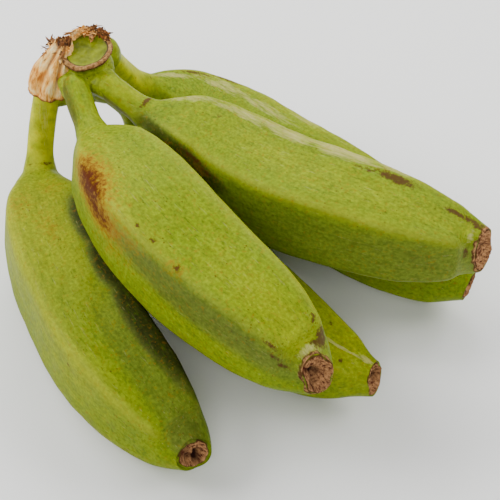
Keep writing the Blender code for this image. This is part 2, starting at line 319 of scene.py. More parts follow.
def frame_along(finger, shares):
    """A finger's middle points, its sideways, upward and forward directions, and the way
    run along it, at shares of its body."""
    line, travel, neck_end = smooth_line(finger_points(finger))
    place = neck_end + shares * (travel[-1] - neck_end)
    slope = np.gradient(line, travel, axis=0)
    middle = read_along(place, travel, line)
    ahead = read_along(place, travel, slope)
    ahead /= np.linalg.norm(ahead, axis=1)[:, None]
    side = np.cross(ahead, (0.0, 0.0, 1.0))
    side /= np.linalg.norm(side, axis=1)[:, None]
    return middle, side, np.cross(side, ahead), ahead, place


def neck_start(finger):
    """Where a finger's neck starts, as a share of its body, so below 0."""
    travel, neck_end = smooth_line(finger_points(finger))[1:]
    return -neck_end / (travel[-1] - neck_end)


def spread_shares(finger, neck_rings, body_rings, even):
    """Shares of the body at which a finger's rows stand, evenly along its neck, and along
    its body between even steps and half a cosine wave's, which crowd at both ends."""
    step = np.linspace(0.0, 1.0, body_rings)
    body = (1 - even) * (1 - np.cos(np.pi * step)) / 2 + even * step
    return np.concatenate([np.linspace(neck_start(finger), 0.0, neck_rings + 1)[:-1], body])


def plain_finger(finger):
    """The finger as the part has it, coarse, with the crown at the origin: what seats it."""
    shares = spread_shares(finger, PART_NECK_RINGS, PART_BODY_RINGS, PART_EVEN_SPACING)
    middle, side, up = frame_along(finger, shares)[:3]
    angles = np.linspace(0.0, 2 * np.pi, PART_RING_SIDES, endpoint=False)
    flat = soft_step((shares + 0.02) / 0.16) * soft_step((1 - shares) / 0.10)
    shape = 1 + flat[:, None] * (side_radius(angles, RIDGE_SHARPNESS) - 1)[None]
    radius = finger_width(shares, finger["girth"] * BODY_WIDTH)[:, None] / 2 * shape
    around = np.cos(angles)[None, :, None] * side[:, None] + np.sin(angles)[None, :, None] * up[:, None]
    return middle[:, None] + radius[..., None] * around


def scar_face(scar, angles, rim, turn, seed):
    """The tip's face, as rows that shrink from its rim to its middle: their places across
    the tip, their rise along the finger, and how far each point is scar, pit and scab.

    The rise is a round shoulder where living skin rings the scar, then a lip, a dish that
    is deepest in the middle and flattens with the cube of the way out, soft roughness and
    a few bell-shaped pits.
    """
    left = (1 - np.linspace(0.0, 1.0, SCAR_RINGS + 1)[1:] ** 1.15)[:, None]
    x = left * rim * np.cos(angles)
    y = left * rim * np.sin(angles)
    across = np.stack([x, y, 0 * x], axis=-1)
    cover = scar["cover"]
    ragged = 0.045 * np.cos(3 * angles - turn) + 0.035 * np.cos(5 * angles + turn) + 0.02 * np.cos(9 * angles)
    inner = left / (cover * (1 + ragged))
    scarred = soft_step((1.02 - inner) / 0.05)
    shoulder = -SCAR_SHOULDER * (1 - cover) * soft_step((left - cover) / (1.001 - cover))
    lip = SCAR_LIP * np.exp(-((inner - 0.90) / 0.08) ** 2)
    dish = -SCAR_DISH * (1 - np.clip(inner, 0.0, 1.0) ** 3)
    rough = 0.00034 * lumps(across, 0.0042, seed + 9) + 0.00020 * lumps(across, 0.0018, seed + 10)
    pits = np.zeros_like(x)
    random = np.random.default_rng(seed + 77)
    for _ in range(SCAR_PITS):
        far, way = random.uniform(0.15, 0.62) * TIP_WIDTH / 2, random.uniform(0, 2 * np.pi)
        gap = (x - far * math.cos(way)) ** 2 + (y - far * math.sin(way)) ** 2
        pits += random.uniform(0.5, 1.0) * np.exp(-gap / (2 * random.uniform(0.0006, 0.0013) ** 2))
    pits = np.clip(pits, 0.0, 1.0)
    rise = shoulder + scarred * (lip + dish + rough - PIT_DEPTH * pits)
    scab = np.exp(-((inner - 1.0) / 0.05) ** 2) + soft_step(lumps(across, 0.0035, seed + 60) - 0.2)
    return left, x, y, rise, scarred, pits * scarred, scab


def paint_marks(name, shares, bearings, body_run, girth):
    """Strength of each kind of mark over a finger, the strongest of its kind at each point.

    A mark is strength times exp(-(u^2 + v^2)^p), with u and v the ways along and round
    the skin from its middle, in half lengths and half widths.
    """
    fields = {kind: np.zeros_like(shares) for kind in MARK_KINDS}
    for kind, marks in MARKS[name].items():
        for share, way, half_length, half_width, strength in marks:
            off = (bearings - way + 180.0) % 360.0 - 180.0
            u = (shares - share) * body_run / (half_length / 1000)
            v = np.radians(off) * girth / (half_width / 1000)
            mark = strength * np.exp(-(u * u + v * v) ** MARK_KINDS[kind])
            fields[kind] = np.maximum(fields[kind], mark)
    return fields


def finger_surface(name, place, seed):
    """One finger as rows of points round it, from its root to the middle of its scar.

    A row stands across the finger's middle line.  Its radius is half the width at that
    share times the rounded polygon, which fades in over the shoulder and out at the tip,
    plus soft lumps.  At the tip the rows lean over to the scar's plane, and the last
    rows shrink across the scar to its middle, over a lip, a dish and a few pits.
    """
    finger, scar = FINGERS[name], SCARS[name]
    shares = spread_shares(finger, NECK_RINGS, BODY_RINGS, EVEN_SPACING)
    middle, side, up, ahead, run = frame_along(finger, shares)
    angles = np.linspace(0.0, 2 * np.pi, RING_SIDES, endpoint=False)
    cos, sin = np.cos(angles), np.sin(angles)
    around = cos[None, :, None] * side[:, None] + sin[None, :, None] * up[:, None]
    turn = seed * 1.3

    # The section: flat sides on the body, a slightly uneven neck, an oval tip.
    flat = soft_step((shares + 0.02) / 0.11) * soft_step((1 - shares) / 0.10)
    polygon = side_radius(angles, SKIN_SHARPNESS)
    shape = 1 + flat[:, None] * (polygon[None] - 1)
    neck = 1 - soft_step((shares + 0.05) / 0.10)
    shape += neck[:, None] * (0.030 * np.cos(3 * angles + turn) + 0.018 * np.cos(5 * angles + 2 * turn))[None]
    tip = soft_step((shares - 0.93) / 0.07)
    oval = 1 + scar["stretch"] * np.cos(2 * (angles - math.radians(scar["along"])))
    oval += 0.04 * np.cos(3 * angles + turn) + 0.025 * np.cos(5 * angles - turn)
    shape *= 1 + tip[:, None] * (scar["size"] * oval[None] - 1)
    # A root is a fifth slimmer where it enters the crown.
    inside_crown = 0.80 + 0.20 * soft_step(run / 0.0035)
    radius = (inside_crown * finger_width(shares, finger["girth"] * BODY_WIDTH) / 2)[:, None] * shape

    # Soft swellings over the body, and a crease where the neck meets it.
    straight = np.stack([run[:, None] + 0 * radius, radius * cos, radius * sin], axis=-1)
    on_body = soft_step((shares + 0.02) / 0.10) * soft_step((1.0 - shares) / 0.06)
    swell = 0.00034 * lumps(straight * (0.45, 1, 1), 0.026, seed)
    swell = swell + 0.00010 * lumps(straight, 0.008, seed + 50)
    radius = radius + (0.25 + 0.75 * on_body)[:, None] * swell
    crease = np.exp(-((shares - 0.012) / 0.010) ** 2)[:, None] * (0.5 + 0.5 * np.cos(2 * angles + turn))[None]
    radius = radius - 0.00035 * crease

    # The last rows lean over towards the scar's plane, and the scar's face closes them.
    facing = np.cos(angles - math.radians(scar["towards"]))
    slant = math.tan(math.radians(scar["lean"]))
    back = 0.6 * TIP_WIDTH / 2
    lean = -slant * (radius * facing[None] + back) * soft_step((shares - 0.90) / 0.10)[:, None]
    rows = middle[:, None] + radius[..., None] * around + lean[..., None] * ahead[:, None]
    left, x, y, rise, scarred, pits, scab = scar_face(scar, angles, radius[-1], turn, seed)
    rise = rise - slant * (left * radius[-1] * facing + back)
    cap = middle[-1] + x[..., None] * side[-1] + y[..., None] * up[-1] + rise[..., None] * ahead[-1]
    total = np.concatenate([rows, cap]) + place
    total[..., 2] = np.maximum(total[..., 2], 0.0)

    # What the skin's material reads.  Each finger's pattern starts at a place of its own.
    growth = np.concatenate([straight, np.stack([run[-1] + 0 * x, x, y], axis=-1)])
    share_all = np.concatenate([shares, np.ones(len(cap))])[:, None] + 0 * total[..., 0]
    bearings = np.degrees(angles)[None] + 0 * share_all
    ridge = (polygon - polygon.min()) / (polygon.max() - polygon.min())
    # On the most scarred tips, cork creeps over the rim's edge.
    edge = np.clip((shares - 0.990) / 0.010, 0.0, 1.0)[:, None] + 0 * radius
    edge = soft_step(edge + 0.55 * lumps(straight, 0.003, seed + 5) * (edge > 0)) * (scar["cover"] > 0.9)
    fields = {
        "growth": growth + np.array([0.37 * seed, 0.0, 0.0]),
        "ridge": np.concatenate([flat[:, None] * ridge[None] ** 5, 0 * x]),
        "neck": NECK_PALENESS[name] * (1 - soft_step((share_all + 0.06) / 0.09)),
        "cork": np.concatenate([edge, scarred]),
        "pit": np.concatenate([0 * radius, pits]),
        "scab": np.concatenate([0.9 * edge * (1 - edge) * 4, scab]),
    }
    girth = np.concatenate([radius, left * radius[-1]])
    fields.update(paint_marks(name, share_all, bearings, run[-1] - run[NECK_RINGS], girth))
    return total, fields


# ---- crown -----------------------------------------------------------------
# The cut face's slope: rise per metre towards +X and +Y.
CUT_SLOPE = (0.10, 0.22)
CUT_RADIUS = 0.0078
FLESH_RADIUS = 0.915 * CUT_RADIUS
LIP_HALF_WIDTH = 0.00076  # the dried rim round the flesh
LIP_HEIGHT = 0.0006
STUMP_DEPTH = 0.0235      # from the cut face down
BUTTRESS_POWER = 8        # how sharply the buttresses meet the stump
NECK_START = 0.010        # the stretch of each neck that swells out of the stump
CROWN_SIDES = 240


def cut_outline(angles):
    """The cut face's uneven outline: its radius at each bearing as a share of a circle's."""
    waves = 0.035 * np.cos(2 * angles - 0.9) + 0.02 * np.cos(3 * angles + 0.5) + 0.012 * np.cos(7 * angles)
    return 1 + waves


def cut_height(x, y):
    """Height of the cut plane over a point, from the middle of the cut face."""
    return -0.0005 + CUT_SLOPE[0] * x + CUT_SLOPE[1] * y


def neck_reach(angles, level):
    """How far out from the crown's upright line the necks' first stretches reach at a
    height: each neck is a run of balls along its middle line, and a ray at a bearing
    leaves a ball at far cos t + sqrt(radius^2 - rise^2 - (far sin t)^2)."""
    reaches = []
    for finger in FINGERS.values():
        line, travel = smooth_line(finger_points(finger))[:2]
        run = np.linspace(0.0, NECK_START, 26)
        ball = read_along(run, travel, line)
        width = NECK_WIDTH / 2 * (1.14 - 0.34 * soft_step(run / NECK_START))
        far = np.hypot(ball[:, 0], ball[:, 1])[:, None]
        turn = angles[None] - np.arctan2(ball[:, 1], ball[:, 0])[:, None]
        rise = (level - (ball[:, 2] - CROWN_TOP))[:, None]
        inside = width[:, None] ** 2 - rise ** 2 - (far * np.sin(turn)) ** 2
        reach = np.where(inside > 0, far * np.cos(turn) + np.sqrt(np.clip(inside, 0.0, None)), 0.0)
        reaches.append(np.clip(reach, 0.0, None).max(axis=0))
    return reaches


def crown_surface(place):
    """The cut stump as rows round an upright line, from the middle of its cut face over
    its rim and down its side to its underside.

    The side's radius at each height and bearing is a power mean of the stump's own
    radius and the necks' reaches, so that it stands in a buttress over each neck.
    """
    angles = np.linspace(0.0, 2 * np.pi, CROWN_SIDES, endpoint=False)
    cos, sin = np.cos(angles), np.sin(angles)
    outline = cut_outline(angles)
    rows, cut, rim, dark = [], [], [], []

    def ring(radius, height):
        """Points round the upright line, at a radius and a height for each bearing."""
        return np.stack([radius * cos, radius * sin, height], axis=-1)

    # The flesh, a little dished, with a dark line round it.
    for share in np.linspace(0.0, 1.0, 40)[1:]:
        radius = FLESH_RADIUS * share * outline
        flat = ring(radius, 0 * radius)
        rough = 0.00009 * lumps(flat, 0.0045, 3) + 0.00004 * lumps(flat, 0.0016, 5)
        height = cut_height(radius * cos, radius * sin) - 0.0003 * (1 - share ** 4) + rough * (1 - share ** 8)
        rows.append(ring(radius, height))
        cut.append(1.0)
        rim.append(0.0)
        dark.append(soft_step((share - 0.90) / 0.08))
    # The dried rim: a rounded lip that stands a little above the flesh and proud of the side.
    for share in np.linspace(0.0, 1.0, 17)[1:]:
        turn = np.pi * share
        radius = (FLESH_RADIUS + LIP_HALF_WIDTH * (1 - math.cos(turn))) * outline
        ragged = np.stack([cos, sin, 0 * cos + share], axis=-1)
        radius = radius + 0.00016 * lumps(ragged, 0.25, 4)
        height = cut_height(radius * cos, radius * sin) + LIP_HEIGHT * math.sin(turn) - 0.0007 * share
        height = height + 0.00015 * lumps(ragged, 0.35, 6)
        rows.append(ring(radius, height))
        cut.append(0.0)
        rim.append(1.0)
        dark.append(math.exp(-(share / 0.14) ** 2) + math.exp(-((share - 1.0) / 0.16) ** 2))
    lip_radius, lip_height = radius, height
    # The side, with a buttress over each neck.
    for share in np.linspace(0.0, 1.0, 90)[1:]:
        down = STUMP_DEPTH * share
        # The stump draws in under its lip, swells below it and tapers away among the necks.
        core = (CUT_RADIUS * (1 - 0.07 * soft_step(share / 0.08)) * (1 + 0.20 * soft_step(share / 0.4))
                * (1 - 0.80 * soft_step((share - 0.45) / 0.55)))
        power = (core * outline) ** BUTTRESS_POWER
        for reach in neck_reach(angles, -down):
            power = power + reach ** BUTTRESS_POWER
        radius = power ** (1 / BUTTRESS_POWER)
        blend = soft_step(share / 0.10)
        radius = radius * blend + (lip_radius - 0.0005) * (1 - blend)
        level = soft_step(share / 0.5)
        height = (lip_height - down) * (1 - level) - down * level
        radius = radius + 0.00016 * lumps(ring(radius, height), 0.005, 8)
        rows.append(ring(radius, height))
        cut.append(0.0)
        rim.append(1 - soft_step(share / 0.045))
        dark.append(0.8 * (1 - soft_step(share / 0.035)))
    total = np.array(rows)
    # The pattern's coordinates are moved along, so that no two pieces show the same of it.
    fields = {"growth": total + 0.9}
    for kind, values in (("cut", cut), ("rim", rim), ("dark", dark)):
        fields[kind] = np.clip(values, 0.0, 1.0)[:, None] + 0 * total[..., 0]
    return total + place, fields


# ---- husk ------------------------------------------------------------------
# The husk's rings from its torn top to its lower edge: middle, from the middle of the
# cut face, and half widths along X and Y, in millimetres.
HUSK_RINGS = (
    (-7.8, 2.0, 2.0, 2.8, 2.6), (-8.7, 1.0, 0.4, 4.0, 3.6), (-9.9, 0.0, -1.8, 5.2, 4.7),
    (-11.1, -1.3, -4.8, 6.7, 6.1), (-12.1, -2.4, -8.0, 7.8, 6.9), (-12.8, -2.9, -11.1, 8.0, 7.0),
    (-13.1, -3.0, -13.8, 7.7, 6.7), (-13.3, -3.0, -15.6, 7.3, 6.4),
)
# Its folds: bearing at the top, bearing at the lower edge, half width, depth as a share
# of the radius, and where along it they fade out.
HUSK_FOLDS = (
    (200, 165, 9, 0.16, 0.75), (228, 200, 7, 0.12, 0.55), (250, 232, 12, 0.32, 1.15),
    (278, 262, 6, 0.10, 0.60), (296, 284, 11, 0.36, 1.25), (326, 312, 8, 0.26, 1.00),
    (352, 345, 9, 0.13, 0.80), (30, 22, 10, 0.16, 0.80), (75, 70, 9, 0.15, 0.70),
    (110, 115, 10, 0.18, 0.85), (150, 140, 9, 0.15, 0.80), (175, 150, 6, 0.10, 0.50),
)
HUSK_THICKNESS = 0.00045
HUSK_LENGTH = 0.022       # down its cloth, for its pattern
HUSK_ROUND = 0.006        # its mean radius, for its pattern
HUSK_SIDES = 260
HUSK_ROWS = 120           # down each of its two walls


def husk_surface(place):
    """The dried bract: a thin folded sleeve, pinched and torn at its top.

    A ring's radius is an oval's, less a bell-shaped valley along each fold, which turns
    from its bearing at the top to its bearing below.  The inner wall is the outer one
    drawn in by the sheet's thickness.
    """
    angles = np.linspace(0.0, 2 * np.pi, HUSK_SIDES, endpoint=False)
    cos, sin = np.cos(angles), np.sin(angles)
    stations = np.linspace(0.0, 1.0, len(HUSK_RINGS))
    columns = np.array(HUSK_RINGS).T / 1000

    def sheet(shares, inset):
        """One wall at shares of the way down: its points, the coordinates of its pattern,
        how deep in a fold each point is, and its share."""
        x, y, z, wide, deep = (smooth_curve(stations, column, shares)[:, None] for column in columns)
        shares = shares[:, None]
        radius = 1.0 + 0.03 * np.cos(3 * angles + 4 * shares)
        valley = np.zeros_like(radius)
        for start, end, width, depth, fade in HUSK_FOLDS:
            bearing = start + (end - start) * shares
            off = (np.degrees(angles)[None] - bearing + 180) % 360 - 180
            strength = np.clip(1 - shares / fade, 0.0, 1.0) ** 0.7
            spread = width * (1.1 - 0.3 * shares) + 3.0
            valley = valley + strength * depth * np.exp(-(off / spread) ** 2)
        radius = radius - valley
        ring = np.stack([cos * HUSK_ROUND + 0 * radius, sin * HUSK_ROUND + 0 * radius,
                         HUSK_LENGTH * shares + 0 * radius], axis=-1)
        radius = radius + 0.030 * lumps(ring * (1, 1, 0.5), 0.0045, 21)
        radius = radius + 0.012 * lumps(ring * (1, 1, 0.35), 0.0016, 22)
        torn = 0.0009 * lumps(ring, 0.0030, 23) + 0.0005 * lumps(ring, 0.0013, 24)
        hem = 0.0008 * lumps(ring, 0.0060, 25) + 0.0004 * lumps(ring, 0.0018, 26)
        flare = 0.00050 * soft_step((shares - 0.90) / 0.10)
        lift = torn * (1 - soft_step(shares / 0.22)) + hem * soft_step((shares - 0.75) / 0.25)
        a, b = wide * radius + flare - inset, deep * radius + flare - inset
        points = np.stack([x + a * cos, y + b * sin, z + lift], axis=-1)
        growth = np.stack([0.026 * shares + 0 * a, a * cos, b * sin], axis=-1)
        return points, growth, np.clip(4 * valley, 0, 1), shares + 0 * a

    down = np.linspace(0.0, 1.0, HUSK_ROWS)
    outer, inner = sheet(down, 0.0), sheet(down[::-1], HUSK_THICKNESS)
    total, growth, crease, share = (np.concatenate([o, i]) for o, i in zip(outer, inner))
    edge = np.exp(-((1 - share) / 0.045) ** 2) + np.exp(-(share / 0.05) ** 2)
    dark = np.clip(0.95 * edge + 0.70 * crease ** 2, 0.0, 1.0)
    dark[HUSK_ROWS:] = 1.0
    return total + place, {"growth": growth + 0.3, "dark": dark}


# ---- torn fibre ------------------------------------------------------------
def rim_point(bearing, out, up):
    """A point over the crown's rim: bearing in radians, then outwards and up from its lip."""
    radius = CUT_RADIUS * cut_outline(bearing) + out
    x, y = radius * np.cos(bearing), radius * np.sin(bearing)
    return np.stack([x, y, cut_height(x, y) + up], axis=-1)


def torn_wall(place):
    """The torn sheath that stands on the rim's far side: an oval carried along the rim,
    tall in the middle and nothing at its ends, with a rough edge."""
    share = np.linspace(0.0, 1.0, 130)[:, None]
    around = np.linspace(0.0, 2 * np.pi, 36, endpoint=False)[None]
    bearing = np.radians(18 + 150 * share)
    swell = np.clip(np.sin(np.pi * share), 0.0, 1.0) ** 0.45
    along = np.concatenate([np.cos(bearing), np.sin(bearing), 0 * bearing], axis=1)
    tall = 0.0014 * (1 + 0.45 * lumps(along, 0.35, 31) + 0.35 * lumps(along, 0.12, 32))[:, None] * swell
    thick = 0.0013 * (1 + 0.3 * lumps(along, 0.3, 33))[:, None] * swell
    out = thick * np.cos(around) + 0.0001
    up = tall * np.sin(around) + 0.0005 * swell
    total = rim_point(bearing + 0 * out, out, up)
    rough = [lumps(total, 0.0016, seed) + 0.6 * lumps(total, 0.0007, seed + 9) for seed in (34, 35, 36)]
    total = total + 0.00042 * swell[..., None] * np.stack(rough, axis=-1)
    growth = np.stack([0.01 * bearing + 0 * out, out, up], axis=-1)
    dark = soft_step((1.75 - bearing) / 0.45) + 0 * out
    return total + place, {"growth": growth + 0.2, "dark": np.clip(0.32 + 0.6 * dark, 0, 1)}


# Bunches of loose fibre: how many, bearing from and to, outwards from and to (mm), up
# from and to (mm), length from and to (mm), width from and to (mm), how far they run
# along the rim, outwards and up, how curled and how dark.
FIBRES = (
    (70, 88, 168, -0.9, 1.2, 0.0, 1.3, 2.5, 5.0, 0.6, 1.6, (1.0, -0.1, 0.02), 0.45, 0.30),
    (150, 28, 100, -0.9, 1.1, 0.0, 1.7, 0.8, 2.0, 0.5, 1.2, (0.9, 0.0, 0.0), 1.2, 0.80),
    (12, 66, 84, -1.2, -0.2, 0.3, 1.2, 2.0, 4.0, 0.7, 1.4, (0.1, -1.0, -0.14), 0.30, 0.60),
    (18, 84, 104, -0.8, 0.2, 0.4, 1.2, 1.5, 3.0, 0.7, 1.4, (0.6, -0.6, 0.0), 0.5, 0.35),
    (60, 150, 200, -0.2, 1.8, -0.5, 2.0, 1.2, 2.8, 0.6, 1.5, (-0.6, 0.1, 0.1), 0.9, 0.65),
    (90, 158, 184, 3.8, 5.6, -1.8, 0.8, 1.2, 2.6, 0.6, 1.6, (0.6, 0.35, 0.2), 1.0, 0.85),
)
FIBRE_RINGS = 9
FIBRE_SIDES = 6


def fibre_bunches(place):
    """Loose fibres as tapering flat strips.

    A strip runs from its foot along its own way, bent by a squared term, and its section
    is a flat oval that narrows to nothing at its end.
    """
    bunches, tones = [], []
    random = np.random.default_rng(41)
    for count, b0, b1, o0, o1, u0, u1, l0, l1, w0, w1, way, curl, dark in FIBRES:
        bearing = np.radians(random.uniform(b0, b1, count))
        foot = rim_point(bearing, random.uniform(o0, o1, count) / 1000, random.uniform(u0, u1, count) / 1000)
        outward = np.stack([np.cos(bearing), np.sin(bearing), 0 * bearing], axis=-1)
        rimward = np.stack([-np.sin(bearing), np.cos(bearing), 0 * bearing], axis=-1)
        sign = np.where(random.uniform(size=count) < 0.5, -1.0, 1.0)[:, None]
        ahead = way[0] * sign * rimward + way[1] * outward + (0, 0, way[2])
        ahead = ahead + 0.20 * random.normal(size=(count, 3))
        ahead /= np.linalg.norm(ahead, axis=1)[:, None]
        bend = curl * random.normal(size=(count, 3)) - (0, 0, 0.5 * curl)
        length = random.uniform(l0, l1, count)[:, None, None] / 1000
        t = np.linspace(0.0, 1.0, FIBRE_RINGS)[None, :, None]
        line = foot[:, None] + length * (ahead[:, None] * t + 0.5 * bend[:, None] * t * t)
        tangent = np.gradient(line, axis=1)
        tangent /= np.linalg.norm(tangent, axis=2)[..., None]
        flat = np.cross(tangent, random.normal(size=(count, 1, 3)))
        flat /= np.linalg.norm(flat, axis=2)[..., None]
        thick = np.cross(tangent, flat)
        width = random.uniform(w0, w1, count)[:, None, None] / 2000 * np.sqrt(np.clip(1 - t ** 3, 0.01, 1))
        width = width * (1 + 0.25 * np.sin(9 * t + 6 * bearing[:, None, None]))
        turn = np.linspace(0.0, 2 * np.pi, FIBRE_SIDES, endpoint=False)
        thick = thick * np.minimum(0.28 * width, 0.00012)
        section = (np.cos(turn)[None, None, :, None] * (flat * width)[:, :, None]
                   + np.sin(turn)[None, None, :, None] * thick[:, :, None])
        bunches.append(line[:, :, None] + section)
        tone = np.clip(dark + 0.12 + 0.26 * random.normal(size=count), 0, 1)
        tones.append(tone[:, None, None] + np.zeros((count, FIBRE_RINGS, FIBRE_SIDES)))
    rows, tone = np.concatenate(bunches), np.concatenate(tones)
    return rows + place, {"growth": rows + 0.4, "dark": tone}


# ---- making ----------------------------------------------------------------
def add_object(name, data):
    """An object of a mesh, a light or a camera, in the scene."""
    made = bpy.data.objects.new(name, data)
    bpy.context.scene.collection.objects.link(made)
    return made


def add_piece(name, points, faces, fields, look, turn_outwards=False):
    """A smooth piece of points and faces, with its fields as attributes of the points."""
    mesh = bpy.data.meshes.new(name)
    mesh.from_pydata(points.tolist(), [], faces)
    for field, values in fields.items():
        wide = values.ndim == 2
        made = mesh.attributes.new(field, "FLOAT_VECTOR" if wide else "FLOAT", "POINT")
        made.data.foreach_set("vector" if wide else "value", values.astype(np.float32).ravel())
    if turn_outwards:
        shape = bmesh.new()
        shape.from_mesh(mesh)
        bmesh.ops.recalc_face_normals(shape, faces=shape.faces)
        shape.to_mesh(mesh)
        shape.free()
    mesh.shade_smooth()
    mesh.materials.append(look)
    return add_object(name, mesh)


def add_surface(name, rows, fields, look, start_pole=None, end_pole=None):
    """A closed mesh over rows of points round a piece, with one point to close each end."""
    count, sides = rows.shape[:2]
    i = np.arange(count - 1)[:, None] * sides
    j = np.arange(sides)[None]
    k = (j + 1) % sides
    quads = np.stack([i + j, i + k, i + sides + k, i + sides + j], axis=-1).reshape(-1, 4)
    poles = [rows[0].mean(axis=0) if start_pole is None else start_pole,
             rows[-1].mean(axis=0) if end_pole is None else end_pole]
    points = np.concatenate([rows.reshape(-1, 3), poles])
    first = np.stack([k[0], j[0], 0 * j[0] + count * sides], axis=-1)
    last = (count - 1) * sides
    final = np.stack([last + j[0], last + k[0], 0 * j[0] + count * sides + 1], axis=-1)
    # Faces point outwards when the pyramids from them to the origin add up to more than 0.
    a, b, c, d = (points[quads[:, n]] for n in range(4))
    volume = np.einsum("ij,ij->i", a, np.cross(b, c)).sum() + np.einsum("ij,ij->i", a, np.cross(c, d)).sum()
    if volume < 0:
        quads, first, final = quads[:, ::-1], first[:, ::-1], final[:, ::-1]
    with_poles = {}
    for field, values in fields.items():
        ends = [values[0].mean(axis=0), values[-1].mean(axis=0)]
        with_poles[field] = np.concatenate([values.reshape(-1, *values.shape[2:]), ends])
    return add_piece(name, points, quads.tolist() + first.tolist() + final.tolist(), with_poles, look)


def add_bundle(name, rows, fields, look):
    """One mesh of many closed strips: strips by rings by points round each ring."""
    strips, rings, sides = rows.shape[:3]
    ring = np.arange(strips)[:, None, None] * rings * sides + np.arange(rings - 1)[None, :, None] * sides
    j = np.arange(sides)[None, None]
    k = (j + 1) % sides
    quads = np.stack([ring + j, ring + k, ring + sides + k, ring + sides + j], axis=-1).reshape(-1, 4)
    foot = np.arange(strips)[:, None] * rings * sides + np.arange(sides)[None]
    ends = foot[:, ::-1].tolist() + (foot + (rings - 1) * sides).tolist()
    fields = {field: values.reshape(-1, *values.shape[3:]) for field, values in fields.items()}
    return add_piece(name, rows.reshape(-1, 3), quads.tolist() + ends, fields, look, turn_outwards=True)


# ---- materials -------------------------------------------------------------
def colour(text):
    """An sRGB hex colour as linear red, green, blue and alpha."""
    parts = [int(text[n:n + 2], 16) / 255 for n in (1, 3, 5)]
    return (*[p / 12.92 if p <= 0.04045 else ((p + 0.055) / 1.055) ** 2.4 for p in parts], 1.0)


def mm(size):
    """Pattern scale for features of about this many millimetres, on coordinates in metres."""
    return 1000.0 / size


# A colour is laid over the one under it by an amount.  Math's inputs go by number, as 0
# times 1 plus 2.  Map Range takes its value, 0, from the range 1 to 2 to the range 3 to 4.
AMOUNT, UNDER, OVER = 0, 6, 7
MIX = dict(out=2, data_type="RGBA")
DARKEN = dict(out=2, data_type="RGBA", blend_type="MULTIPLY")


def add_node(tree, kind, inputs=(), out=0, **settings):
    """Adds a shader node with its settings and its inputs, by name or number, each a value
    or another node's output, and gives the output asked for."""
    made = tree.nodes.new("ShaderNode" + kind)
    for name, value in settings.items():
        setattr(made, name, value)
    for key, value in dict(inputs).items():
        if isinstance(value, bpy.types.NodeSocket):
            tree.links.new(value, made.inputs[key])
        else:
            made.inputs[key].default_value = value
    return made.outputs[out] if made.outputs else None


def new_material(name):
    """An empty material, and the function that adds nodes to it."""
    made = bpy.data.materials.new(name)
    made.use_nodes = True
    made.node_tree.nodes.clear()
    return made, partial(add_node, made.node_tree)


